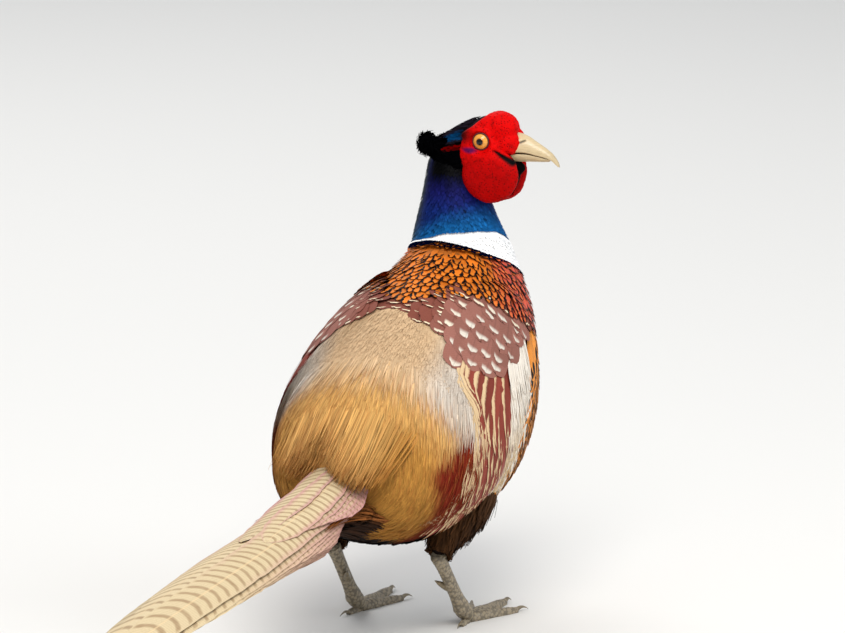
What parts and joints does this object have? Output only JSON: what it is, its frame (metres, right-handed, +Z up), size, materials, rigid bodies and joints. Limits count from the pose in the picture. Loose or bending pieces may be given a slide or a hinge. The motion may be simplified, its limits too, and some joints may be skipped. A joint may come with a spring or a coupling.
{
  "type": "common pheasant cock, standing",
  "caption": "Life-size still model of a standing ring-necked cock pheasant with its head turned aside and its long barred tail held out behind.",
  "frame": {"origin": "on the floor, under the middle of the whole bird from the front of the breast and head to the tip of the tail", "axes": "+X the way the body faces, +Y the bird's left, +Z up"},
  "size_m": [0.6776, 0.159, 0.3143],
  "materials": {
    "body_feathers": "soft feathers, matt",
    "collar_feathers": "soft white feathers, matt",
    "neck_feathers": "close feathers with a blue and green sheen",
    "head_feathers": "close dark feathers with a green sheen",
    "ear_feathers": "stiff black feathers",
    "wing_feathers": "flat overlapping feathers, satin",
    "tail_feathers": "long flat feathers, satin",
    "bare_face": "rough, papillose red skin",
    "bill_horn": "pale horn, satin",
    "eyes": "wet and glossy, amber iris",
    "leg_scales": "scaly grey skin"
  },
  "bodies": {
    "root": {"head": "head_feathers", "bill_upper": "bill_horn", "bill_lower": "bill_horn", "eye_right": "eyes", "wattle_right": "bare_face", "ear_tuft_right": "ear_feathers", "eye_left": "eyes", "wattle_left": "bare_face", "ear_tuft_left": "ear_feathers", "torso": "body_feathers", "collar": "collar_feathers", "neck": "neck_feathers", "wing_right": "wing_feathers", "thigh_right": "body_feathers", "shank_right": "leg_scales", "foot_right": "leg_scales", "wing_left": "wing_feathers", "thigh_left": "body_feathers", "shank_left": "leg_scales", "foot_left": "leg_scales", "tail": "tail_feathers"}
  },
  "joints": []
}
